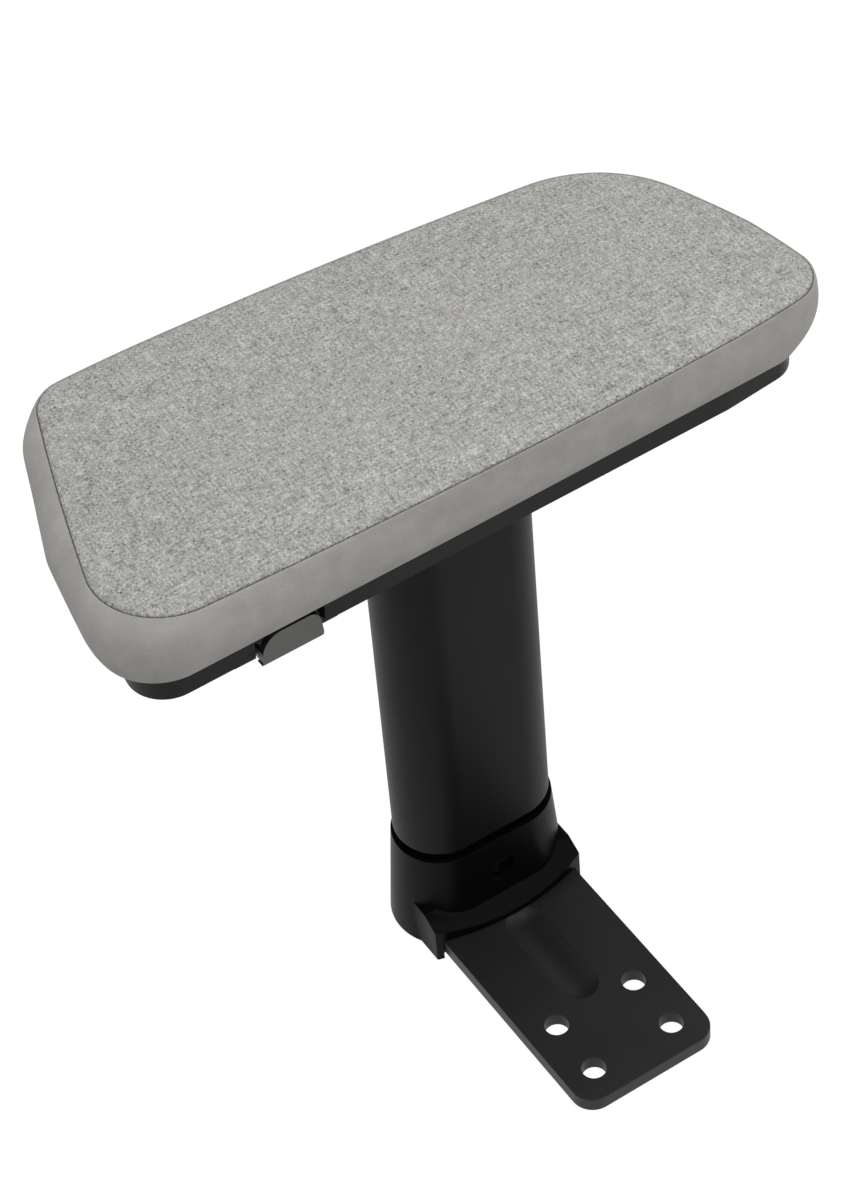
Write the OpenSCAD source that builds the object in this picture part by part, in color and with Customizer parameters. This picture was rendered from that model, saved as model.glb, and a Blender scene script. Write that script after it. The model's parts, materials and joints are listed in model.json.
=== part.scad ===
// Height-adjustable padded armrest for an office chair, right-hand arm.
// X runs forward, Y runs inboard towards the seat, Z up. The origin is the middle of
// the seat bolt pattern on the top face of the steel bar.

/* [Pad] */
// Nominal length of the cushion, front to rear
pad_l = 258; // [216:1:310]
// Nominal width of the cushion across the arm
pad_w = 116; // [104:0.5:140]
// Height of the cushion above the tray's visible strip
pad_h = 22.4; // [20:0.1:27]
// Thickness of the moulded shell under the foam
shell_t = 5; // [4:0.1:6]
// Thickness of the side band leather with its backing
band_t = 2; // [1:0.1:2.4]
// Thickness of the woven top cover
top_t = 1.6; // [1:0.1:2.4]

/* [Tray] */
// Visible height of the tray strip below the cushion
tray_h = 9; // [8:0.1:10]
// Floor and wall thickness of the tray
tray_t = 2.5; // [2:0.1:3]

/* [Post] */
// Outside width of the sleeve, front to rear
sleeve_w = 58.4; // [52:0.1:72]
// Outside depth of the sleeve across the arm
sleeve_d = 33.2; // [31:0.1:40]
// Length of the sleeve below the tray
sleeve_l = 182.2; // [168:0.1:218]
// Wall of the sleeve
sleeve_t = 3; // [2.4:0.1:3.2]
// Height of the sleeve's lower end above the bar at the lowest setting
sleeve_z = 36.8; // [35:0.1:44]
// Height travel of the arm
travel = 80; // [60:1:84]

/* [Bracket] */
// Width of the flat steel bar
bar_w = 55; // [46:0.5:66]
// Thickness of the flat steel bar and the upright
bar_t = 6; // [5:0.1:6.5]
// Width of the upright inside the sleeve
upright_w = 36; // [30:0.5:38]
// Distance from the post's axis to the middle of the seat bolts
bolt_reach = 84; // [78:1:100]
// Spacing of the seat bolts along the arm
bolt_dx = 32; // [30:0.5:34]
// Spacing of the seat bolts across the arm
bolt_dy = 22; // [18:0.5:26]
// Diameter of the seat bolt holes
bolt_hole_d = 8.5; // [6.5:0.1:9]
// Length of bar past the middle of the seat bolts
bar_end = 23; // [21:0.5:30]
// Width of the pressed groove along the bar
groove_w = 13.5; // [10:0.1:15]
// Depth of the pressed groove
groove_h = 2.6; // [1.5:0.1:3]

/* [Release] */
// Diameter of the cross shaft
shaft_d = 6; // [5:0.1:6.5]
// Diameter of the push rod
rod_d = 4; // [3:0.1:4.4]
// Width of the paddle along the arm
paddle_w = 22; // [18:0.1:25]
// Diameter of the pin that carries the brake cam
pin_d = 3; // [2.4:0.1:3.2]

/* [Clearances] */
// Gap round each turning shaft, on the radius
run_gap = 0.05; // [0.02:0.01:0.1]
// Gap on each side of the sliding upright
slide_gap = 0.3; // [0.2:0.05:0.4]
// Gap between pieces that pass each other
part_gap = 0.4; // [0.3:0.05:0.5]

/* [Hidden] */
$fn = 64;

// heights
tray_z = sleeve_z + sleeve_l;
cush_z = tray_z + tray_h;
seam_z = cush_z + pad_h - top_t;
shell_z = cush_z + 6;
floor_z = tray_z + tray_t;
plate_t = 2.5;
plate_z = floor_z + plate_t;

// sleeve and its inside
in_w = sleeve_w - 2 * sleeve_t;
in_d = sleeve_d - 2 * sleeve_t;
head_h = 14;
head_z = tray_z - head_h;
upright_top = head_z - 3;
stop_z = upright_top - 6;
guide_z = sleeve_z + 1.8;
guide_h = 19;
house_h = 28;
house_z = stop_z - 4 - travel - house_h;

// cover round the bend of the bar
rim_z = sleeve_z - 3.9;
cover_z = -bar_t - 3.2;
rim_w = sleeve_w + 1.6;
rim_d = sleeve_d + 1.6;
foot_w = sleeve_w + 7.4;
foot_d = sleeve_d + 7.4;
cover_t = 2.5;
deck_z = rim_z - 6;
snout_w = bar_w + 5.6;
snout_y = sleeve_d / 2 + 9;
screw_z = 18;

// release train
shaft_y = 16;
shaft_z = plate_z + shaft_d / 2 + 2;
hub_r = shaft_d / 2 + 1.6;
rod_y = bar_t / 2 + rod_d / 2 + 1.2;
finger_z = shaft_z - 2;
rod_top = finger_z - part_gap;
pin_y = rod_y + 4.2;
pin_z = house_z + 14;
cam_top = pin_z + 4;
cam_r = pin_y - 2.8 - bar_t / 2 - run_gap;
rod_low = cam_top + part_gap;
inner_y = 0.237 * pad_w + 0.213 * pad_w;
paddle_x = 83.2;
paddle_y = inner_y - 8.2;
lever_x0 = paddle_x - 6;
lever_x1 = paddle_x + 4;
shaft_x0 = -4;
shaft_x1 = lever_x1;

// how far each outline lies inside the cushion's widest outline
strip_in = 3.9;
tray_ends = 3;
skirt_in = 3.2;
band_in = 4.5;
step_z = cush_z + 0.6 * pad_h;

// cushion outline at its widest: centre x, centre y, radius
function pad_circles(ends = 0) = [
  [0.444 * pad_l + 1.6 * ends, 0.237 * pad_w + 2.7 * ends, 0.213 * pad_w - 2.7 * ends],
  [-0.290 * pad_l, 0.159 * pad_w, 0.291 * pad_w],
  [-0.393 * pad_l + 2.1 * ends, 0.274 * pad_w + 1.3 * ends, 0.149 * pad_w - 0.8 * ends],
  [-0.236 * pad_l, -0.018 * pad_w, 0.422 * pad_w],
  [0.233 * pad_l, -0.260 * pad_w, 0.290 * pad_w],
  [0.368 * pad_l - ends, -0.328 * pad_w, 0.216 * pad_w],
  [0.399 * pad_l - ends, 0.017 * pad_w, 0.272 * pad_w]];
function unit(v) = v / norm(v);
// angle of the straight edge's outward normal between two circles
function edge_angle(a, b) =
  let (d = [b[0] - a[0], b[1] - a[1]], u = unit(d), c = (a[2] - b[2]) / norm(d),
    v = u * c + [u[1], -u[0]] * sqrt(1 - c * c))
  atan2(v[1], v[0]);
// quarter round of radius r about [x, y], from angle a
function corner(x, y, r, a) = [for (k = [0:6]) [x + r * cos(a + 15 * k), y + r * sin(a + 15 * k)]];
function turn(a0, a1) = a1 - a0 - 360 * floor((a1 - a0) / 360);
corner_steps = 14;
pad_holes = [[0.40 * pad_l, 0.13 * pad_w], [0.33 * pad_l, -0.34 * pad_w],
  [-0.34 * pad_l, 0.20 * pad_w], [-0.30 * pad_l, -0.22 * pad_w]];

module at_post() {
  translate([0, -bolt_reach, 0])
    children();
}

// cushion outline moved inwards by i; ends sets the ends in further and squares the corners
module pad_outline(i, ends) {
  cs = pad_circles(ends);
  n = len(cs);
  polygon([for (k = [0:n - 1])
    let (c = cs[k], a0 = edge_angle(cs[(k + n - 1) % n], c), a1 = edge_angle(c, cs[(k + 1) % n]))
    for (j = [0:corner_steps])
      let (a = a0 + turn(a0, a1) * j / corner_steps)
      [c[0] + (c[2] - i) * cos(a), c[1] + (c[2] - i) * sin(a)]]);
}

// straight-sided slice of the cushion between two heights
module pad_slab(z0, z1, i, ends = 0) {
  translate([0, 0, z0])
    linear_extrude(z1 - z0)
      pad_outline(i, ends);
}

// flat bar with round ends, w along X and d along Y
module track(w, d, z0, z1) {
  translate([0, 0, z0]) {
    for (s = [-1, 1]) {
      translate([s * (w - d) / 2, 0, 0])
        cylinder(h = z1 - z0, d = d);
    }
    translate([-(w - d) / 2, -d / 2, 0])
      cube([w - d, d, z1 - z0]);
  }
}

// the same shape with sloping sides
module track_cone(w, d0, d1, z0, z1) {
  for (s = [-1, 1]) {
    translate([s * w / 2, 0, z0])
      cylinder(h = z1 - z0, d1 = d0, d2 = d1);
  }
  rotate([90, 0, 90])
    translate([0, 0, -w / 2])
      linear_extrude(w)
        polygon([[-d0 / 2, z0], [d0 / 2, z0], [d1 / 2, z1], [-d1 / 2, z1]]);
}

// round bar along Y from y0 to y1
module along_y(x, z, y0, y1, r) {
  translate([x, y0, z])
    rotate([-90, 0, 0])
      cylinder(h = y1 - y0, r = r);
}

// round bar along X from x0 to x1
module along_x(y, z, x0, x1, r) {
  translate([x0, y, z])
    rotate([0, 90, 0])
      cylinder(h = x1 - x0, r = r);
}

module box(a, b) {
  translate(a)
    cube([b[0] - a[0], b[1] - a[1], b[2] - a[2]]);
}

// hollow or ridge of the pressed groove: a round bar with ball ends
module groove_form(r, zc, y0, y1) {
  translate([0, y0, zc])
    rotate([-90, 0, 0])
      cylinder(h = y1 - y0, r = r);
  for (y = [y0, y1]) {
    translate([0, y, zc])
      sphere(r);
  }
}

module bracket() {
  color("#2b2b2d")
    at_post() {
      groove_r = (groove_w * groove_w / 4 + groove_h * groove_h) / (2 * groove_h);
      zc = groove_r - groove_h;
      y0 = snout_y + 5;
      y1 = bolt_reach - bolt_dy / 2 - 10;
      bend = 1.5 * bar_t;
      end_y = bolt_reach + bar_end;
      difference() {
        union() {
          // level bar with two rounded corners
          translate([0, 0, -bar_t])
            linear_extrude(bar_t)
              difference() {
                union() {
                  translate([-bar_w / 2, 16])
                    square([bar_w, end_y - 24]);
                  translate([-bar_w / 2 + 8, 16])
                    square([bar_w - 16, end_y - 16]);
                  for (s = [-1, 1]) {
                    translate([s * (bar_w / 2 - 8), end_y - 8])
                      circle(8);
                  }
                  translate([-upright_w / 2, bend])
                    square([upright_w, 16 - bend + 1]);
                }
              }
          // bend
          intersection() {
            difference() {
              along_x(bend, bend - bar_t / 2, -upright_w / 2, upright_w / 2, bend + bar_t / 2);
              along_x(bend, bend - bar_t / 2, -upright_w, upright_w, bend - bar_t / 2);
            }
            box([-upright_w, -bar_t, -2 * bar_t], [upright_w, bend, bend - bar_t / 2]);
          }
          // upright
          box([-upright_w / 2, -bar_t / 2, bend - bar_t / 2], [upright_w / 2, bar_t / 2, upright_top]);
          // ridge under the groove
          intersection() {
            groove_form(groove_r + bar_t, zc, y0, y1);
            box([-bar_w / 2, 0, -2 * bar_t], [bar_w / 2, end_y, -bar_t]);
          }
        }
        groove_form(groove_r, zc, y0, y1);
        for (sx = [-1, 1], sy = [-1, 1]) {
          translate([sx * bolt_dx / 2, bolt_reach + sy * bolt_dy / 2, -bar_t - 1])
            cylinder(h = bar_t + 2, d = bolt_hole_d);
        }
        // threads for the cover screw and the stop screw
        along_y(0, screw_z, -bar_t, bar_t, 2.5);
        along_y(10, stop_z, -bar_t, bar_t, 2.5);
      }
    }
}

module base_cover() {
  color("#161617")
    at_post() {
      straight = rim_w - rim_d;
      bow_r = 90;
      difference() {
        union() {
          track_cone(straight, foot_d, rim_d, cover_z, rim_z);
          // snout over the bar, bowed front and sloping top
          intersection() {
            translate([0, snout_y - bow_r, cover_z])
              cylinder(h = 24, r = bow_r, $fn = 256);
            rotate([90, 0, 90])
              translate([0, 0, -snout_w / 2])
                linear_extrude(snout_w)
                  polygon([[0, cover_z], [snout_y + 1, cover_z], [snout_y + 1, 2], [14, 9.5], [0, 9.5]]);
          }
        }
        // hollow below the deck
        track_cone(straight, foot_d - 2 * cover_t, rim_d - 2 * cover_t, cover_z - 0.001, deck_z - cover_t);
        // cup above the deck
        track(rim_w - 4, rim_d - 4, deck_z, rim_z + 1);
        // slot for the upright
        box([-upright_w / 2 - slide_gap, -bar_t / 2 - slide_gap, 0], [upright_w / 2 + slide_gap, bar_t / 2 + slide_gap, rim_z]);
        // way out for the bar
        box([-bar_w / 2 - slide_gap, 0, cover_z - 1], [bar_w / 2 + slide_gap, snout_y + 5, slide_gap]);
        // sunk seat of the cover screw
        along_y(0, screw_z, 13.6, 40, 4.8);
      }
      // boss for the screw, against the upright
      difference() {
        along_y(0, screw_z, bar_t / 2, 16.2, 6.2);
        along_y(0, screw_z, 0, 20, 2.5);
        along_y(0, screw_z, 13.6, 40, 4.8);
      }
    }
}

module bottom_cap() {
  color("#161617")
    at_post() {
      difference() {
        union() {
          track_cone(rim_w - rim_d, foot_d - 2 * cover_t - 0.1, foot_d - 2 * cover_t - 0.4, cover_z, cover_z + 2.4);
          box([-bar_w / 2, 0, cover_z], [bar_w / 2, 19, cover_z + 2.4]);
        }
        for (x = [-18, -6, 6, 18]) {
          box([x - 2, -12, cover_z - 1], [x + 2, 12, cover_z + 0.8]);
        }
      }
      // pads that bear on the bar
      box([-bar_w / 2 + 4, 12, cover_z + 2.4], [bar_w / 2 - 4, 16, -bar_t]);
    }
}

module cover_screw() {
  color("#3a3a3c")
    at_post() {
      difference() {
        union() {
          along_y(0, screw_z, -bar_t / 2, 13.6, 2.5);
          along_y(0, screw_z, 13.6, 16.2, 4.1);
        }
        translate([0, 17, screw_z])
          rotate([90, 0, 0])
            cylinder(h = 2.6, r = 2.2, $fn = 6);
      }
    }
}

module stop_bumper() {
  color("#1c1c1e")
    at_post() {
      difference() {
        track(rim_w - 12, rim_d - 12, deck_z, guide_z - slide_gap);
        box([-upright_w / 2 - 0.1, -bar_t / 2 - 0.1, 0], [upright_w / 2 + 0.1, bar_t / 2 + 0.1, guide_z + 1]);
      }
    }
}

module stop_screw() {
  color("#8a8c90")
    at_post() {
      difference() {
        union() {
          along_y(10, stop_z, -bar_t / 2, bar_t / 2, 2.5);
          along_y(10, stop_z, -bar_t / 2 - 2.6, -bar_t / 2, 4);
        }
        translate([10, -bar_t / 2 - 1, stop_z])
          rotate([90, 0, 0])
            cylinder(h = 2.6, r = 2, $fn = 6);
      }
    }
}

module outer_sleeve() {
  color("#232325")
    at_post() {
      difference() {
        track(sleeve_w, sleeve_d, sleeve_z, tray_z);
        track(in_w, in_d, sleeve_z - 1, tray_z + 1);
        sleeve_screw_shapes();
      }
    }
}

module lower_guide() {
  color("#38383a")
    at_post() {
      difference() {
        track(in_w, in_d, guide_z, guide_z + guide_h);
        box([-upright_w / 2 - slide_gap, -bar_t / 2 - slide_gap, 0],
          [upright_w / 2 + slide_gap, bar_t / 2 + slide_gap, tray_z]);
        sleeve_screw_shapes();
      }
    }
}

module latch_housing() {
  color("#3c3c3f")
    at_post() {
      difference() {
        track(in_w, in_d, house_z, house_z + house_h);
        box([-upright_w / 2 - slide_gap, -bar_t / 2 - slide_gap, 0],
          [upright_w / 2 + slide_gap, bar_t / 2 + slide_gap, tray_z]);
        // chamber of the cam
        box([-4.7, 0, pin_z - 8], [4.7, in_d, pin_z + 7]);
        // well of the spring
        translate([0, rod_y + 1.2, house_z + 2])
          cylinder(h = 10, r = 2.9);
        // guide hole of the push rod
        translate([0, rod_y, pin_z])
          cylinder(h = house_h, r = rod_d / 2 + run_gap);
        along_x(pin_y, pin_z, -9, 9, pin_d / 2);
        sleeve_screw_shapes();
      }
    }
}

module sleeve_head() {
  color("#77797d")
    at_post() {
      difference() {
        track(in_w, in_d, head_z, tray_z);
        translate([0, rod_y, head_z - 1])
          cylinder(h = head_h + 2, r = rod_d / 2 + run_gap);
        plate_screw_shapes();
        sleeve_screw_shapes();
      }
    }
}

// six countersunk screws in the outer face of the sleeve
module sleeve_screw_shapes() {
  for (x = [-9, 9], z = [guide_z + 9.5, pin_z, tray_z - 7]) {
    along_y(x, z, -sleeve_d / 2, -sleeve_d / 2 + 8, 1.5);
    translate([x, -sleeve_d / 2, z])
      rotate([-90, 0, 0])
        cylinder(h = 1.6, r1 = 3, r2 = 1.5);
  }
}

module sleeve_screws() {
  color("#2e2e30")
    at_post() {
      difference() {
        sleeve_screw_shapes();
        for (x = [-9, 9], z = [guide_z + 9.5, pin_z, tray_z - 7]) {
          translate([x, -sleeve_d / 2 + 1, z])
            rotate([90, 0, 0])
              cylinder(h = 3, r = 1.2, $fn = 6);
        }
      }
    }
}

// four screws that clamp plate, tray floor and head together
module plate_screw_shapes() {
  for (x = [-18, 18], y = [-7, 7]) {
    translate([x, y, head_z + 2])
      cylinder(h = plate_z - head_z - 2, r = 2.5);
    translate([x, y, plate_z])
      cylinder(h = 3.2, r = 4.4);
  }
}

module plate_screws() {
  color("#8a8c90")
    at_post() {
      difference() {
        plate_screw_shapes();
        for (x = [-18, 18], y = [-7, 7]) {
          translate([x, y, plate_z + 1.2])
            cylinder(h = 3, r = 2.2, $fn = 6);
        }
      }
    }
}

module arm_plate() {
  color("#55575a")
    at_post() {
      difference() {
        translate([0, 0, floor_z])
          linear_extrude(plate_t)
            union() {
              square([60, 24], center = true);
              square([48, 36], center = true);
              for (sx = [-1, 1], sy = [-1, 1]) {
                translate([sx * 24, sy * 12])
                  circle(6);
              }
            }
        plate_screw_shapes();
        translate([0, rod_y, floor_z - 1])
          cylinder(h = 6, r = rod_d / 2 + part_gap);
      }
    }
}

module pad_tray() {
  color("#1f1f21")
    at_post() {
      difference() {
        union() {
          difference() {
            union() {
              pad_slab(tray_z, cush_z - part_gap, strip_in, tray_ends);
              pad_slab(cush_z - 1, shell_z - part_gap, strip_in + 3.4, tray_ends);
            }
            pad_slab(floor_z, shell_z + 1, strip_in + 3.4 + tray_t, tray_ends);
          }
          // bosses under the cushion shell
          for (p = pad_holes) {
            translate([p[0], p[1], tray_z])
              cylinder(h = shell_z - tray_z, r = 6.5);
          }
          // bearings of the cross shaft
          for (x = [35, 60]) {
            box([x, shaft_y - 6, tray_z + 1], [x + 7, shaft_y + 6, shaft_z + shaft_d / 2 + 1.4]);
          }
          // guard rib behind the paddle
          box([paddle_x - paddle_w / 2 - 9, inner_y - 13.2, tray_z - 8],
            [paddle_x + paddle_w / 2 + 8, inner_y - 11.6, tray_z + 1]);
          // closed ends of the mouth on both sides of the paddle
          box([paddle_x - paddle_w / 2 - 6, inner_y - 8.2, tray_z - 3.5],
            [paddle_x - paddle_w / 2 - 0.6, inner_y - 6.6, tray_z + 8]);
          box([paddle_x + paddle_w / 2 + 0.6, inner_y - 8.2, tray_z - 3.5],
            [paddle_x + paddle_w / 2 + 8, inner_y - 6.6, tray_z + 8]);
          // stiffening ribs
          for (x = [-84, -56]) {
            box([x, -34, tray_z + 1], [x + 2, 34, shell_z - 3]);
          }
          box([-96, -1, tray_z + 1], [-34, 1, shell_z - 3]);
          box([34, -31, tray_z + 1], [110, -29, shell_z - 3]);
        }
        along_x(shaft_y, shaft_z, 30, 70, shaft_d / 2 + run_gap);
        // mouth for the paddle in the side wall and way for its arm through the floor
        box([paddle_x - paddle_w / 2 - 0.5, inner_y - 11.3, tray_z - 1],
          [paddle_x + paddle_w / 2 + 0.5, inner_y + 5, shell_z + 1]);
        box([paddle_x + paddle_w / 2 + 0.4, inner_y - 6.7, tray_z - 1],
          [paddle_x + paddle_w / 2 + 4.5, inner_y + 5, shell_z + 1]);
        box([lever_x0 - 0.8, 24, tray_z - 0.2], [lever_x1 + 0.8, inner_y - 11, shell_z + 1]);
        // way for the push rod and the clamping screws
        translate([0, rod_y, tray_z - 1])
          cylinder(h = 6, r = rod_d / 2 + part_gap);
        plate_screw_shapes();
        pad_screw_shapes();
      }
    }
}

// screws up through the tray into the cushion
module pad_screw_shapes() {
  for (p = pad_holes) {
    translate([p[0], p[1], tray_z - 1])
      cylinder(h = 4.6, r = 4.8);
    translate([p[0], p[1], tray_z + 3.6])
      cylinder(h = shell_z + shell_t - tray_z - 4.4, r = 2.5);
  }
}

module pad_screws() {
  color("#3a3a3c")
    at_post() {
      difference() {
        for (p = pad_holes) {
          translate([p[0], p[1], tray_z + 0.8])
            cylinder(h = 2.8, r = 4.2);
          translate([p[0], p[1], tray_z + 3.6])
            cylinder(h = shell_z + shell_t - tray_z - 4.4, r = 2.5);
        }
        for (p = pad_holes) {
          translate([p[0], p[1], tray_z])
            cylinder(h = 2.4, r = 2.2, $fn = 6);
        }
      }
    }
}

module tee_nuts() {
  color("#9a9ca0")
    at_post() {
      for (p = pad_holes) {
        difference() {
          union() {
            translate([p[0], p[1], shell_z + 0.6])
              cylinder(h = shell_t - 0.6, r = 3.8);
            translate([p[0], p[1], shell_z + shell_t - 1.2])
              cylinder(h = 1.2, r = 8);
          }
          translate([p[0], p[1], shell_z - 1])
            cylinder(h = shell_t + 2, r = 2.5);
        }
      }
    }
}

module pad_shell() {
  color("#2c2c2e")
    at_post() {
      difference() {
        pad_slab(cush_z + 0.6, shell_z + shell_t, skirt_in);
        pad_slab(cush_z, shell_z, strip_in + 3.4 - part_gap, tray_ends);
        for (p = pad_holes) {
          translate([p[0], p[1], shell_z - 1])
            cylinder(h = 1.6, r = 2.8);
          translate([p[0], p[1], shell_z + 0.6])
            cylinder(h = shell_t, r = 3.8);
          translate([p[0], p[1], shell_z + shell_t - 1.2])
            cylinder(h = 2, r = 8);
        }
      }
    }
}

module pad_band() {
  color("#a9a59c")
    at_post() {
      difference() {
        union() {
          pad_slab(cush_z, step_z, 0);
          pad_slab(step_z - 0.5, seam_z, band_in);
        }
        pad_slab(cush_z - 1, shell_z + shell_t + 0.2, skirt_in);
        pad_slab(shell_z + shell_t - 0.5, seam_z + 1, band_in + band_t);
      }
    }
}

module pad_foam() {
  color("#d8cf9a")
    at_post() {
      pad_slab(shell_z + shell_t, seam_z, band_in + band_t + 0.2);
    }
}

module pad_top() {
  color("#a8a59e")
    at_post() {
      pad_slab(seam_z, seam_z + top_t, band_in + band_t - 0.5);
    }
}

module latch_spring() {
  color("#b5b7bb")
    at_post() {
      for (k = [0:3]) {
        translate([0, rod_y + 1.2, house_z + 2.45 + 1.55 * k])
          rotate_extrude()
            translate([2.1, 0])
              circle(0.45, $fn = 24);
      }
    }
}

module cam_pin() {
  color("#9a9ca0")
    at_post() {
      along_x(pin_y, pin_z, -9, 9, pin_d / 2);
    }
}

module release_lever() {
  color("#5f6164")
    at_post() {
      z = shaft_z;
      top_y = paddle_y;
      difference() {
        union() {
          along_x(shaft_y, z, lever_x0, lever_x1, hub_r);
          // arm down and out to the mouth in the tray
          rotate([90, 0, 90])
            translate([0, 0, lever_x0])
              linear_extrude(lever_x1 - lever_x0)
                polygon([[shaft_y, z - hub_r + 0.2], [top_y - 3, tray_z + 0.6], [top_y - 0.2, tray_z - 1],
                  [top_y + 0.4, tray_z + 2.2], [shaft_y + 3, z + 3.4]]);
          // turned-in flange at the paddle's front end
          box([paddle_x + paddle_w / 2 - 2.2, top_y - 2.2, tray_z - 6.2],
            [paddle_x + paddle_w / 2 - 0.9, top_y + 2.4, tray_z - 2]);
          // paddle, tilted to face up and out
          intersection() {
            rotate([90, 0, 90])
              translate([0, 0, paddle_x - 30])
                linear_extrude(60)
                  polygon([[top_y - 1, tray_z + 4.4], [top_y + 1.4, tray_z + 4.4], [top_y + 3.6, tray_z - 5.8],
                    [top_y + 2.9, tray_z - 6.5], [top_y + 1.2, tray_z - 6.5]]);
            translate([paddle_x, 0, tray_z - 1.85])
              rotate([-90, 0, 0])
                linear_extrude(90)
                  polygon(concat(corner(paddle_w / 2 - 8.5, 3.4, 8, -90), corner(paddle_w / 2 - 1, 3.6, 1, 0),
                    corner(2 - paddle_w / 2, 2.6, 2, 90), corner(3.4 - paddle_w / 2, -1.2, 3.4, 180)));
          }
        }
        along_x(shaft_y, z, lever_x0 - 1, lever_x1 + 1, shaft_d / 2);
        translate([paddle_x, shaft_y, z])
          cylinder(h = 10, r = 1.5);
      }
    }
}

module lever_shaft() {
  color("#8a8c90")
    at_post() {
      along_x(shaft_y, shaft_z, shaft_x0, shaft_x1, shaft_d / 2);
    }
}

module crank_finger() {
  color("#6f7175")
    at_post() {
      difference() {
        union() {
          along_x(shaft_y, shaft_z, -4, 4, hub_r);
          box([-4, rod_y - 2, finger_z], [4, shaft_y, finger_z + 4.4]);
        }
        along_x(shaft_y, shaft_z, -5, 5, shaft_d / 2);
        translate([0, shaft_y, shaft_z])
          cylinder(h = 10, r = 1.5);
      }
    }
}

module set_screws() {
  color("#3a3a3c")
    at_post() {
      for (x = [0, paddle_x]) {
        intersection() {
          difference() {
            translate([x, shaft_y, shaft_z])
              cylinder(h = hub_r - 0.2, r = 1.5);
            translate([x, shaft_y, shaft_z + hub_r - 0.9])
              cylinder(h = 2, r = 0.8, $fn = 6);
          }
          difference() {
            box([x - 3, 0, shaft_z], [x + 3, 2 * shaft_y, shaft_z + 10]);
            along_x(shaft_y, shaft_z, x - 4, x + 4, shaft_d / 2);
          }
        }
      }
    }
}

module release_rod() {
  color("#9a9ca0")
    at_post() {
      translate([0, rod_y, rod_low + rod_d / 2])
        cylinder(h = rod_top - rod_low - rod_d, r = rod_d / 2);
      for (z = [rod_low + rod_d / 2, rod_top - rod_d / 2]) {
        translate([0, rod_y, z])
          sphere(rod_d / 2);
      }
    }
}

module brake_cam() {
  color("#6f7175")
    at_post() {
      difference() {
        union() {
          along_x(pin_y - 2.8, pin_z - 1, -4.2, 4.2, cam_r);
          along_x(pin_y, pin_z, -4.2, 4.2, 2.5);
          box([-4.2, pin_y - 5.6, pin_z - 1], [4.2, pin_y, cam_top]);
        }
        along_x(pin_y, pin_z, -5, 5, pin_d / 2 + run_gap);
      }
    }
}

bracket();
base_cover();
bottom_cap();
cover_screw();
stop_bumper();
stop_screw();
outer_sleeve();
lower_guide();
latch_housing();
sleeve_head();
sleeve_screws();
arm_plate();
plate_screws();
pad_tray();
pad_screws();
tee_nuts();
pad_shell();
pad_foam();
pad_band();
pad_top();
latch_spring();
cam_pin();
release_lever();
lever_shaft();
crank_finger();
set_screws();
release_rod();
brake_cam();
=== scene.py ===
import json
import math
import bmesh
import bpy
import numpy as np
from mathutils import Matrix, Vector, kdtree


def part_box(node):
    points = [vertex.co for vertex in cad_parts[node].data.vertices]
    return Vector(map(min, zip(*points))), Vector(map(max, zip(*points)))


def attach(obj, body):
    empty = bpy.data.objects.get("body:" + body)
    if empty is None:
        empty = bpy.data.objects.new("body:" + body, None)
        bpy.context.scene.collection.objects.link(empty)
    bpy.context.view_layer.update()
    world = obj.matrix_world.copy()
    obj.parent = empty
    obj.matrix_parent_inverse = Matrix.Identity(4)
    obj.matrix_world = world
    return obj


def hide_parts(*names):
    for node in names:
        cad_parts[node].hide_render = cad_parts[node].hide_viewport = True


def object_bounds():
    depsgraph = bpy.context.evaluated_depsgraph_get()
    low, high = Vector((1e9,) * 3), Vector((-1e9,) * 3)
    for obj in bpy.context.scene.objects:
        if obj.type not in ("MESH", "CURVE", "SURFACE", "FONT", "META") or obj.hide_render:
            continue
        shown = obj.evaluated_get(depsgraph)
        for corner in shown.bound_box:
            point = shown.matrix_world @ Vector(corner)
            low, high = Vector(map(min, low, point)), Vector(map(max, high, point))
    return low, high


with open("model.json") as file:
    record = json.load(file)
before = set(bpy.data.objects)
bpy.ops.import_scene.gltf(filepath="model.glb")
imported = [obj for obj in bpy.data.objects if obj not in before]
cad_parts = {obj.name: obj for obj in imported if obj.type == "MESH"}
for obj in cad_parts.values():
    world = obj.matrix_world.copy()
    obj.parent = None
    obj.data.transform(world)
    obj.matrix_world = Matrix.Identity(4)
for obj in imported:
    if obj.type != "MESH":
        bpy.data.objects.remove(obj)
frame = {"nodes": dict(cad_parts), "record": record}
cad_low, cad_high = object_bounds()
scene = bpy.context.scene

# ---- Steel bracket ----------------------------------------------------------------
# Flat mild-steel bar, bent up at its inner end into the upright that the arm slides
# on. A long groove is pressed in for stiffness; powder coated in fine-textured black.


class Wire:
    """An output of a finish's node; sums on it add Math nodes."""

    def __init__(self, finish, socket):
        self.finish = finish
        self.socket = socket

    def sum(self, operation, *values):
        return self.finish.node("ShaderNodeMath", {"operation": operation}, dict(enumerate(values)))

    def __add__(self, other):
        return self.sum("ADD", self, other)

    def __radd__(self, other):
        return self.sum("ADD", other, self)

    def __sub__(self, other):
        return self.sum("SUBTRACT", self, other)

    def __rsub__(self, other):
        return self.sum("SUBTRACT", other, self)

    def __mul__(self, other):
        return self.sum("MULTIPLY", self, other)

    def __rmul__(self, other):
        return self.sum("MULTIPLY", other, self)

    def __pow__(self, other):
        return self.sum("POWER", self, other)

    def within(self, low, high):
        """0 below low, 1 above high, and even between them."""
        return self.finish.node("ShaderNodeMapRange", {}, {0: self, 1: low, 2: high}, 0)


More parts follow.
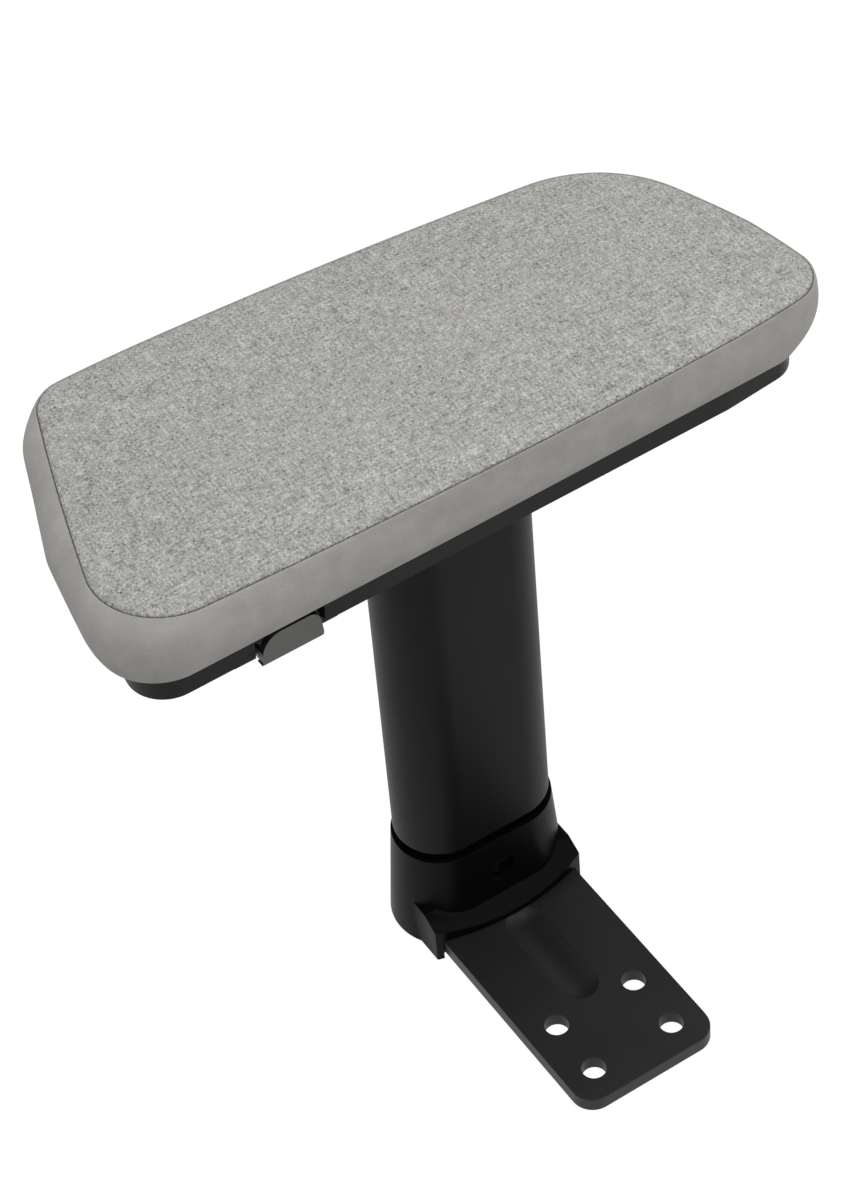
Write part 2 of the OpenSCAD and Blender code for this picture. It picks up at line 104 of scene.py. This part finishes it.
class Finish:
    """One finish: a Principled surface and the nodes that vary it over the part."""

    def __init__(self, name, **sockets):
        self.material = bpy.data.materials.new(name)
        self.material.use_nodes = True
        self.tree = self.material.node_tree
        self.tree.nodes.clear()
        end = self.tree.nodes.new("ShaderNodeOutputMaterial")
        self.surface = self.tree.nodes.new("ShaderNodeBsdfPrincipled")
        self.tree.links.new(self.surface.outputs[0], end.inputs[0])
        self.place = self.node("ShaderNodeTexCoord", {}, {}, "Object")
        self.give(**sockets)

    def fill(self, socket, value):
        if isinstance(value, Wire):
            self.tree.links.new(value.socket, socket)
        else:
            socket.default_value = value

    def give(self, **sockets):
        for name, value in sockets.items():
            self.fill(self.surface.inputs[name.replace("_", " ")], value)

    def node(self, kind, settings, sockets, output=0):
        made = self.tree.nodes.new(kind)
        for name, value in settings.items():
            if name == "stops":
                ramp = made.color_ramp.elements
                for k, (at, colour) in enumerate(value):
                    stop = ramp[k] if k < 2 else ramp.new(at)
                    stop.position, stop.color = at, colour
            else:
                setattr(made, name, value)
        for name, value in sockets.items():
            self.fill(made.inputs[name], value)
        return Wire(self, made.outputs[output])

    def cloud(self, size, detail=2.0, stretch=None):
        """Soft noise from 0 to 1, its blobs about size metres across."""
        where = self.place
        if stretch:
            where = self.node("ShaderNodeVectorMath", {"operation": "MULTIPLY"}, {0: where, 1: stretch})
        return self.node("ShaderNodeTexNoise", {}, {"Vector": where, "Scale": 1 / size, "Detail": detail})

    def blend(self, share, first, second):
        """First colour where share is 0, second where it is 1."""
        return self.node("ShaderNodeMix", {"data_type": "RGBA"}, {0: share, 6: first, 7: second}, 2)

    def relief(self, height, depth):
        """Bump of that depth in metres."""
        self.give(Normal=self.node("ShaderNodeBump", {}, {"Strength": 1.0, "Distance": depth, "Height": height}))


def tone(red, green=None, blue=None):
    """A screen colour, 0 to 255, as a shader colour."""
    def line(v):
        v /= 255
        return v / 12.92 if v < 0.04045 else ((v + 0.055) / 1.055) ** 2.4
    green = red if green is None else green
    blue = green if blue is None else blue
    return (line(red), line(green), line(blue), 1.0)


def speckled(name, dark, light, rough, grain, depth, shine=0.5, metal=0.0):
    """Moulded, cast or coated surface: a faint drift of tone under a fine all-over grain."""
    made = Finish(name, Metallic=metal, Specular_IOR_Level=shine)
    drift = made.cloud(0.03, 3)
    fine = made.cloud(grain, 2)
    made.give(Base_Color=made.blend((drift * 0.5 + fine * 0.5).within(0.3, 0.7), tone(*dark), tone(*light)))
    made.give(Roughness=rough + (drift - 0.5) * 0.12 + (fine - 0.5) * 0.1)
    made.relief(fine, depth)
    return made


def paint(node, finish):
    """A CAD part whose shape is right gets its finish."""
    part = frame["nodes"][node]
    if not part.material_slots:
        part.data.materials.append(finish.material)
    for slot in part.material_slots:
        slot.material = finish.material
    return part


body_of_node = {n: b for b, members in frame["record"]["behaviour"]["bodies"].items() for n in members}


def eased(node, width, finish, sharp=32):
    """A merged copy of a CAD part with its hard edges rounded over, in place of the part."""
    mesh = frame["nodes"][node].data.copy()
    mesh.materials.clear()
    mesh.materials.append(finish.material)
    shape = bmesh.new()
    shape.from_mesh(mesh)
    bmesh.ops.remove_doubles(shape, verts=shape.verts, dist=2e-6)
    bmesh.ops.dissolve_limit(shape, angle_limit=math.radians(1), verts=shape.verts, edges=shape.edges)
    for face in shape.faces:
        face.smooth = True
        face.material_index = 0
    shape.to_mesh(mesh)
    shape.free()
    if mesh.has_custom_normals:
        mesh.attributes.remove(mesh.attributes["custom_normal"])
    part = bpy.data.objects.new(node + "_eased", mesh)
    scene.collection.objects.link(part)
    soft = part.modifiers.new("edges", "BEVEL")
    soft.width = width
    soft.segments = 3
    soft.limit_method = "ANGLE"
    soft.angle_limit = math.radians(sharp)
    soft.use_clamp_overlap = True
    soft.harden_normals = True
    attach(part, body_of_node[node])
    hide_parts(node)
    return part


powder_black = speckled("powder_black", [30], [40], 0.45, 0.0006, 0.00003, shine=0.25)
eased("bracket", 0.0006, powder_black)

# ---- Base cover and its screw ---------------------------------------------------------
# Two-part boot moulded in black polypropylene round the bend of the bar: the cover from
# above and a cap from below, drawn against the upright by one sunk socket-head screw.
cover_black = speckled("cover_black", [6], [10], 0.4, 0.0007, 0.00002, shine=0.06)
eased("base_cover", 0.0009, cover_black)
paint("bottom_cap", cover_black)
screw_black = speckled("screw_black", [78], [96], 0.3, 0.0004, 0.00001, metal=1.0)
paint("cover_screw", screw_black)

# ---- Stop bumper and stop screw -------------------------------------------------------
# A ring of rubber on the deck of the cover softens the arm's lowest position. A zinc-plated
# screw in the upright's top end holds the arm on at its highest.
bumper_rubber = speckled("bumper_rubber", [20], [26], 0.8, 0.0009, 0.00005, shine=0.25)
paint("stop_bumper", bumper_rubber)
zinc_plate = speckled("zinc_plate", [150, 152, 155], [182, 183, 184], 0.3, 0.0005, 0.00001, metal=1.0)
paint("stop_screw", zinc_plate)

# ---- Guides, brake and push rod ---------------------------------------------------------
# Two acetal blocks slide on the upright; the upper one carries the sintered brake cam on its
# pin, with the wire spring under it and the ground rod that pushes it down from above.
acetal_grey = speckled("acetal_grey", [52], [60], 0.45, 0.0012, 0.00002)
paint("lower_guide", acetal_grey)
paint("latch_housing", acetal_grey)
ground_steel = speckled("ground_steel", [165, 166, 168], [190, 191, 192], 0.22, 0.0003, 0.000005, metal=1.0)
for node in ("cam_pin", "latch_spring", "release_rod"):
    paint(node, ground_steel)
sintered_steel = speckled("sintered_steel", [92, 93, 96], [118, 118, 120], 0.46, 0.0004, 0.00002, metal=1.0)
paint("brake_cam", sintered_steel)

# ---- Outer sleeve and its screws --------------------------------------------------------
# The outer tube of the post, moulded in glass-filled black nylon with a satin spark-eroded
# skin. Six small countersunk screws through its outer face hold the inner blocks.
sleeve_black = speckled("sleeve_black", [14], [19], 0.44, 0.0006, 0.00002, shine=0.09)
eased("outer_sleeve", 0.0009, sleeve_black)
paint("sleeve_screws", screw_black)

# ---- Sleeve head, arm plate and their screws ----------------------------------------------
# A die-cast zinc plug in the sleeve's top, and a stamped steel plate on the tray's floor:
# four pan-head screws clamp the floor between them.
cast_grey = speckled("cast_grey", [118, 119, 121], [142, 142, 143], 0.5, 0.0008, 0.00003, metal=1.0)
paint("sleeve_head", cast_grey)
plate_steel = speckled("plate_steel", [84, 86, 89], [104, 105, 107], 0.42, 0.0007, 0.00001, metal=1.0)
paint("arm_plate", plate_steel)
paint("plate_screws", zinc_plate)

# ---- Pad tray -------------------------------------------------------------------------------
# Shallow tray moulded in black nylon, with bosses, ribs and the bearings of the cross shaft.
# Its upright edge is the dark strip that shows under the cushion; a mouth lets the lever out.
tray_black = speckled("tray_black", [14], [19], 0.42, 0.0007, 0.00002, shine=0.14)
eased("pad_tray", 0.0009, tray_black)

# ---- Release lever, shaft and crank ---------------------------------------------------------
# A pressed paddle in gunmetal lacquer, on a ground cross shaft with a small cast crank at its
# inner end; each is pinned to the shaft by a set screw.
gunmetal = speckled("gunmetal", [84, 84, 82], [97, 97, 95], 0.34, 0.0005, 0.00001, metal=0.85)
eased("release_lever", 0.0009, gunmetal)
paint("lever_shaft", ground_steel)
paint("crank_finger", sintered_steel)
paint("set_screws", screw_black)

# ---- Pad shell, tee nuts and pad screws -------------------------------------------------------
# The cushion's hard back: an injection-moulded shell that takes four tee nuts. Four screws from
# under the tray hold the finished cushion down.
shell_black = speckled("shell_black", [38], [44], 0.55, 0.001, 0.00003)
paint("pad_shell", shell_black)
paint("tee_nuts", zinc_plate)
paint("pad_screws", screw_black)

# ---- Cushion foam -----------------------------------------------------------------------------
# Moulded polyurethane foam. The whole cushion form is inflated a little as cloth, so that foam,
# side band and top cover all swell the way stuffed work does between its seam and its base.
post_low, post_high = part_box("outer_sleeve")
post = np.array([(post_low.x + post_high.x) / 2, (post_low.y + post_high.y) / 2])
band_low, band_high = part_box("pad_band")
base_z = band_low.z
seam_z = band_high.z - 0.0003

headings = np.linspace(0, 2 * math.pi, 720, endpoint=False)
facing = np.stack([np.cos(headings), np.sin(headings)], 1)
corners = np.array([v.co.xy for v in frame["nodes"]["pad_band"].data.vertices]) - post
wide_reach = (corners @ facing.T).max(0)
# rounds that the seam line wraps: centre x, centre y and radius from the post, in mm
seam_rounds = np.array([
    [108.5, 22.5, 24.5], [-77, 19, 30.5], [-102.5, 33, 14.5], [-89, 15, 25], [-61.5, -2.5, 45.5],
    [60, -29.5, 30], [97.5, -47, 13.5],
]) / 1000
seam_reach = (seam_rounds[:, :2] @ facing.T + seam_rounds[:, 2:]).max(0)
seam_reach = sum(np.roll(seam_reach, k) for k in range(-4, 5)) / 9
# the same for the line where the band turns under; it draws in most at the rear end
base_rounds = np.array([
    [117.5, 30.5, 19.5], [-75, 18.5, 30.5], [-94.5, 35, 14], [-61, -2, 45], [60, -30, 29.5], [92, -38, 22], [101, 2, 29],
]) / 1000
base_reach = (base_rounds[:, :2] @ facing.T + base_rounds[:, 2:]).max(0)

count = 560
spine = np.array([[-0.066, -0.002], [0.08, -0.008]])
# even steps round the widest outline, each with its own point on the spine
start = np.array([0.004, -0.005])
room = (wide_reach - start @ facing.T) / np.maximum(facing @ facing.T, 1e-3)
loop = start + facing * np.where(facing @ facing.T > 1e-3, room, 9).min(1)[:, None]
steps = np.linalg.norm(np.roll(loop, -1, 0) - loop, axis=1)
along = np.concatenate([[0], np.cumsum(steps)])
closed = np.vstack([loop, loop[:1]])
at = np.linspace(0, along[-1], count, endpoint=False)
rim = np.stack([np.interp(at, along, closed[:, k]) for k in (0, 1)], 1)
rib = spine[1] - spine[0]
share = np.clip((rim - spine[0]) @ rib / (rib @ rib), 0, 1)
heart = spine[0] + share[:, None] * rib
outward = (rim - heart) / np.linalg.norm(rim - heart, axis=1)[:, None]


def ring(reach, inset=0.0):
    """The outline of that reach, moved inwards by inset: one point on each ray."""
    lean = outward @ facing.T
    room = (reach - inset - heart @ facing.T) / np.maximum(lean, 1e-3)
    return heart + outward * np.where(lean > 1e-3, room, 9).min(1)[:, None]


def rows_to_mesh(name, rows, close_low=False, close_high=False):
    """Rings of points, low to high, as one smooth skin."""
    mesh = bpy.data.meshes.new(name)
    points = np.concatenate([np.column_stack([xy + post, np.broadcast_to(z, count)]) for xy, z in rows])
    faces = []
    for r in range(len(rows) - 1):
        for k in range(count):
            n = (k + 1) % count
            faces.append((r * count + k, r * count + n, (r + 1) * count + n, (r + 1) * count + k))
    mesh.from_pydata(points.tolist(), [], faces)
    shape = bmesh.new()
    shape.from_mesh(mesh)
    if close_low or close_high:
        shape.verts.ensure_lookup_table()
        if close_low:
            shape.faces.new([shape.verts[k] for k in range(count)][::-1])
        if close_high:
            shape.faces.new([shape.verts[len(points) - count + k] for k in range(count)])
    bmesh.ops.remove_doubles(shape, verts=shape.verts, dist=1e-5)
    bmesh.ops.recalc_face_normals(shape, faces=shape.faces)
    for face in shape.faces:
        face.smooth = True
    shape.to_mesh(mesh)
    shape.free()
    piece = bpy.data.objects.new(name, mesh)
    scene.collection.objects.link(piece)
    return piece


def side_rows(inset=0.0):
    """The band's section: the turn under the tray's edge, the widest line and the shoulder."""
    base, wide, seam = ring(base_reach, inset), ring(wide_reach, inset), ring(seam_reach, inset)
    waist = 0.004 + 0.010 * np.tanh(np.linalg.norm(wide - base, axis=1) / 0.008)[:, None]
    tall = seam_z - base_z - inset
    rows = []
    for far, up in [(9, 0.7), (4, 0.3), (1.4, 0.05), (0.5, 0.0)]:
        rows.append((ring(base_reach, far / 1000 + inset), base_z + up / 1000 + inset * 0.5))
    most = math.radians(64)
    for k in range(22):
        height = inset * 0.5 + 0.0002 + (tall - inset * 0.5 - 0.0002) * math.sin(math.pi / 2 * k / 21) ** 1.3
        tuck = np.clip(1 - height / waist, 0, 1) ** 2
        turn = np.arcsin(np.clip((height - waist) / (tall - waist), 0, 1) * math.sin(most))
        pull = (1 - np.cos(turn)) / (1 - math.cos(most))
        rows.append((wide + (base - wide) * tuck + (seam - wide) * pull, base_z + height))
    return rows


core_rows = side_rows(0.0016)
core_rows += [(ring(seam_reach, far / 1000), seam_z - 0.0012 + up / 1000)
              for far, up in [(4, 0.5), (8, 0.8), (18, 1.0)]]
foam = rows_to_mesh("cushion_foam", core_rows, True, True)
shaping = foam.modifiers.new("even", "REMESH")
shaping.mode = "VOXEL"
shaping.voxel_size = 0.0045
bpy.context.view_layer.update()
even = bpy.data.meshes.new_from_object(foam.evaluated_get(bpy.context.evaluated_depsgraph_get()))
foam.modifiers.remove(shaping)
foam.data = even
rest = np.array([v.co for v in even.vertices])
held = foam.vertex_groups.new(name="held")
for v in even.vertices:
    if v.co.z < base_z + 0.004:
        held.add([v.index], 1.0, "REPLACE")
swell = foam.modifiers.new("swell", "CLOTH")
swell.settings.use_pressure = True
swell.settings.uniform_pressure_force = 4
swell.settings.effector_weights.gravity = 0
swell.settings.vertex_group_mass = "held"
swell.settings.tension_stiffness = 18
swell.settings.compression_stiffness = 18
swell.point_cache.frame_start = 1
swell.point_cache.frame_end = 20
for step in range(1, 21):
    scene.frame_set(step)
blown = foam.evaluated_get(bpy.context.evaluated_depsgraph_get())
puffed = np.array([v.co for v in blown.data.vertices])
foam.modifiers.remove(swell)
scene.frame_set(1)
moved = puffed - rest
length = np.linalg.norm(moved, axis=1)
moved *= (0.0022 * np.tanh(length / 0.0022) / np.maximum(length, 1e-9))[:, None]
tree = kdtree.KDTree(len(rest))
for k, co in enumerate(rest):
    tree.insert(co, k)
tree.balance()


def swollen(piece, share=1.0):
    """Moves a skin with the foam under it, least at the stitched seam and at the base."""
    for v in piece.data.vertices:
        near = tree.find_n(v.co, 14)
        weight = np.array([1 / (d + 0.003) ** 2 for _, _, d in near])
        push = (moved[[k for _, k, _ in near]] * weight[:, None]).sum(0) / weight.sum()
        off_seam = min(1.0, abs(v.co.z - seam_z) / 0.006 + 0.25)
        if v.co.z > seam_z - 0.001:
            xy = np.array(v.co.xy) - post
            off_seam = min(1.0, max(0.0, (seam_reach - xy @ facing.T).min()) / 0.02 + 0.1)
        lift = min(1.0, max(0.0, (v.co.z - base_z - 0.0008) / 0.004))
        v.co += Vector(push * (share * off_seam * lift))


for v, push in zip(foam.data.vertices, moved):
    v.co += Vector(push * 0.35)
smooth = foam.modifiers.new("round", "SUBSURF")
smooth.levels = smooth.render_levels = 1
for face in foam.data.polygons:
    face.use_smooth = True
foam_yellow = Finish("foam_yellow", Roughness=0.95, Specular_IOR_Level=0.1)
pores = foam_yellow.node("ShaderNodeTexVoronoi", {}, {"Vector": foam_yellow.place, "Scale": 900.0})
foam_yellow.give(Base_Color=foam_yellow.blend(pores.within(0.1, 0.6), tone(176, 160, 104), tone(214, 204, 156)))
foam_yellow.relief(pores, 0.0003)
foam.data.materials.clear()
foam.data.materials.append(foam_yellow.material)
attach(foam, "carriage")
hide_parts("pad_foam")

# ---- Side band ----------------------------------------------------------------------------------
# A strip of light grey nubuck-faced leathercloth round the cushion, glued and stapled under the
# shell and folded in where it is sewn to the top cover.
band_rows = side_rows()
band_rows += [(ring(seam_reach, far / 1000), seam_z - down / 1000) for far, down in [(0.35, 0.1), (0.6, 0.6), (0.7, 2)]]
band = rows_to_mesh("cushion_band", band_rows)
swollen(band, 0.4)
nubuck = Finish("nubuck", Specular_IOR_Level=0.15, Sheen_Weight=0.15, Sheen_Roughness=0.5)
nap = nubuck.cloud(0.00045, 3)
patches = nubuck.cloud(0.007, 3)
bloom = nubuck.cloud(0.03, 2)
nubuck.give(
    Base_Color=nubuck.blend(
        (nap * 0.36 + patches * 0.42 + bloom * 0.22).within(0.32, 0.68), tone(150, 148, 144), tone(174, 172, 168)),
    Roughness=0.84 + (nap - 0.5) * 0.2,
)
nubuck.relief(nap + patches * 0.5, 0.00012)
band.data.materials.append(nubuck.material)
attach(band, "carriage")
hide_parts("pad_band")

# ---- Top cover -------------------------------------------------------------------------------------
# Woven wool-mix upholstery cloth in warm light grey: salt-and-pepper yarns in a plain weave,
# cut to the cushion's outline and sewn to the side band with a flat seam.
top_rows = [(ring(seam_reach, far / 1000), seam_z + up / 1000)
            for far, up in [(0.85, -1.6), (0.75, -0.7), (0.75, -0.1), (0.95, 0.35), (1.35, 0.7), (2, 1.0), (3.2, 1.3),
                            (5, 1.5), (8, 1.7), (12, 1.85), (19, 2.0)]]
edge = top_rows[-1][0]
for k in range(1, 15):
    share = k / 14
    top_rows.append((edge + (heart - edge) * share, seam_z + 0.002 + 0.0003 * math.sin(share * math.pi / 2)))
top = rows_to_mesh("cushion_top", top_rows)
swollen(top, 0.5)
weave = Finish("weave", Roughness=0.92, Specular_IOR_Level=0.12, Sheen_Weight=0.1, Sheen_Roughness=0.5)
split = weave.node("ShaderNodeSeparateXYZ", {}, {0: weave.place}, "X")
split_y = Wire(weave, split.socket.node.outputs["Y"])
wander = (weave.cloud(0.004, 2) - 0.5) * 0.0006
pitch = 0.0009
warp = (((split + wander) * (math.pi / pitch))).sum("SINE", (split + wander) * (math.pi / pitch))
weft = (((split_y + wander) * (math.pi / pitch))).sum("SINE", (split_y + wander) * (math.pi / pitch))
over = (warp * weft).within(-0.15, 0.15)
long_yarn = weave.cloud(0.0011, 2, (0.35, 1.5, 1))
cross_yarn = weave.cloud(0.0011, 2, (1.5, 0.35, 1))
yarn = long_yarn + (cross_yarn - long_yarn) * over
fibre = weave.cloud(0.00035, 2)
mottle = weave.cloud(0.009, 3)
drift = weave.cloud(0.045, 2)
mixed = yarn * 0.64 + fibre * 0.22 + mottle * 0.09 + drift * 0.05
weave.give(Base_Color=weave.node(
    "ShaderNodeValToRGB",
    {"stops": [(0.34, tone(104, 102, 98)), (0.45, tone(155, 154, 150)), (0.53, tone(173, 172, 168)), (0.63, tone(204, 203, 199))]},
    {0: mixed}))
weave.relief(warp * weft * 0.5 + fibre * 0.8, 0.00016)
top.data.materials.append(weave.material)
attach(top, "carriage")
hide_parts("pad_top")

# ---- Seam stitching -----------------------------------------------------------------------------------
# One row of dark grey polyester thread, about eight stitches to the inch, lies in the seam
# between top cover and side band, all the way round the cushion.
thread = Finish("thread", Roughness=0.7)
twist = thread.cloud(0.0004, 1)
thread.give(Base_Color=thread.blend(twist, tone(70, 68, 66), tone(112, 110, 106)))
line = ring(seam_reach, 0.0007)
track = bpy.data.meshes.new("seam_stitches")
track.from_pydata(
    [(x + post[0], y + post[1], seam_z - 0.0002) for x, y in line], [(k, (k + 1) % count) for k in range(count)], [])
stitches = bpy.data.objects.new("seam_stitches", track)
scene.collection.objects.link(stitches)
sewing = bpy.data.node_groups.new("sewing", "GeometryNodeTree")
sewing.interface.new_socket(name="Seam", in_out="INPUT", socket_type="NodeSocketGeometry")
sewing.interface.new_socket(name="Pitch", in_out="INPUT", socket_type="NodeSocketFloat")
sewing.interface.new_socket(name="Stitch", in_out="INPUT", socket_type="NodeSocketVector")
sewing.interface.new_socket(name="Stitches", in_out="OUTPUT", socket_type="NodeSocketGeometry")


def sew(kind, settings=None, **inputs):
    made = sewing.nodes.new(kind)
    for name, value in (settings or {}).items():
        setattr(made, name, value)
    for name, value in inputs.items():
        socket = made.inputs[name.replace("_", " ")]
        if isinstance(value, bpy.types.NodeSocket):
            sewing.links.new(value, socket)
        else:
            socket.default_value = value
    return made


given = sewing.nodes.new("NodeGroupInput")
path = sew("GeometryNodeMeshToCurve", Mesh=given.outputs["Seam"])
spaced = sew("GeometryNodeResampleCurve", {"mode": "LENGTH"}, Curve=path.outputs[0], Length=given.outputs["Pitch"])
bead = sew("GeometryNodeMeshUVSphere", Segments=8, Rings=6, Radius=0.5)
shaped = sew("GeometryNodeTransform", Geometry=bead.outputs[0], Scale=given.outputs["Stitch"])
turned = sew("FunctionNodeAlignRotationToVector", {"axis": "X"}, Vector=sewing.nodes.new("GeometryNodeInputTangent").outputs[0])
laid = sew("GeometryNodeInstanceOnPoints", Points=spaced.outputs[0], Instance=shaped.outputs[0], Rotation=turned.outputs[0])
real = sew("GeometryNodeRealizeInstances", Geometry=laid.outputs[0])
dyed = sew("GeometryNodeSetMaterial", Geometry=real.outputs[0], Material=thread.material)
out = sewing.nodes.new("NodeGroupOutput")
sewing.links.new(dyed.outputs[0], out.inputs[0])
stitch_maker = stitches.modifiers.new("sewing", "NODES")
stitch_maker.node_group = sewing
for item in sewing.interface.items_tree:
    if item.name == "Pitch":
        stitch_maker[item.identifier] = 0.0031
    if item.name == "Stitch":
        stitch_maker[item.identifier] = (0.0023, 0.0006, 0.0005)
bpy.context.view_layer.update()
sewn = bpy.data.meshes.new_from_object(stitches.evaluated_get(bpy.context.evaluated_depsgraph_get()))
stitches.modifiers.remove(stitch_maker)
stitches.data = sewn
for face in sewn.polygons:
    face.use_smooth = True
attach(stitches, "carriage")

# ---- Studio ----------------------------------------------------------------------------------------------
# White sweep, a big soft lamp overhead and two tall soft lamps at the arm's ends, with the
# camera above the seat looking down and out at the arm.
floor_mesh = bpy.data.meshes.new("studio_floor")
floor_z = cad_low.z - 0.0008
floor_mesh.from_pydata([(-9, -9, floor_z), (9, -9, floor_z), (9, 9, floor_z), (-9, 9, floor_z)], [], [(0, 1, 2, 3)])
floor = bpy.data.objects.new("studio_floor", floor_mesh)
scene.collection.objects.link(floor)
paper = bpy.data.materials.new("studio_paper")
paper.use_nodes = True
nodes, links = paper.node_tree.nodes, paper.node_tree.links
nodes.clear()
matt = nodes.new("ShaderNodeBsdfDiffuse")
matt.inputs["Color"].default_value = (0.55, 0.55, 0.55, 1)
glow = nodes.new("ShaderNodeEmission")
glow.inputs["Strength"].default_value = 1.14
seen = nodes.new("ShaderNodeLightPath")
any_ray = nodes.new("ShaderNodeMath")
any_ray.operation = "MAXIMUM"
links.new(seen.outputs["Is Camera Ray"], any_ray.inputs[0])
links.new(seen.outputs["Is Glossy Ray"], any_ray.inputs[1])
any_more = nodes.new("ShaderNodeMath")
any_more.operation = "MAXIMUM"
links.new(any_ray.outputs[0], any_more.inputs[0])
links.new(seen.outputs["Is Transmission Ray"], any_more.inputs[1])
part_glow = nodes.new("ShaderNodeMath")
part_glow.operation = "MULTIPLY"
part_glow.inputs[1].default_value = 0.86
links.new(any_more.outputs[0], part_glow.inputs[0])
mixed_floor = nodes.new("ShaderNodeMixShader")
links.new(part_glow.outputs[0], mixed_floor.inputs[0])
links.new(matt.outputs[0], mixed_floor.inputs[1])
links.new(glow.outputs[0], mixed_floor.inputs[2])
ended = nodes.new("ShaderNodeOutputMaterial")
links.new(mixed_floor.outputs[0], ended.inputs[0])
floor_mesh.materials.append(paper)

world = bpy.data.worlds.new("studio")
world.use_nodes = True
sky = world.node_tree.nodes["Background"]
sky.inputs["Color"].default_value = (1, 1, 1, 1)
sky.inputs["Strength"].default_value = 0.5
scene.world = world


def lamp(name, where, at, width, height, power):
    data = bpy.data.lights.new(name, "AREA")
    data.shape = "RECTANGLE"
    data.size, data.size_y, data.energy = width, height, power
    made = bpy.data.objects.new(name, data)
    made.location = where
    made.rotation_euler = (Vector(at) - Vector(where)).to_track_quat("-Z", "Y").to_euler()
    scene.collection.objects.link(made)


lamp("lamp_over", (0.0, 0.1, 1.75), (0, -0.08, 0.1), 1.5, 1.5, 14)
lamp("lamp_front", (1.3, -0.1, 0.5), (0, -0.08, 0.12), 0.5, 1.2, 0.8)
lamp("lamp_rear", (-1.1, 0.6, 0.5), (0, -0.08, 0.12), 0.5, 1.2, 4)

right = Vector((-0.83383838, 0.54831322, -0.06376659))
down = Vector((0.44038646, 0.59112408, -0.67574558))
ahead = right.cross(down)
eye = bpy.data.cameras.new("camera")
eye.lens, eye.sensor_width = 116.36, 36
camera = bpy.data.objects.new("camera", eye)
camera.matrix_world = Matrix.Translation((0.4207, 0.6460, 1.0556)) @ Matrix((right, -down, -ahead)).transposed().to_4x4()
scene.collection.objects.link(camera)
scene.camera = camera
scene.view_settings.view_transform = "Standard"
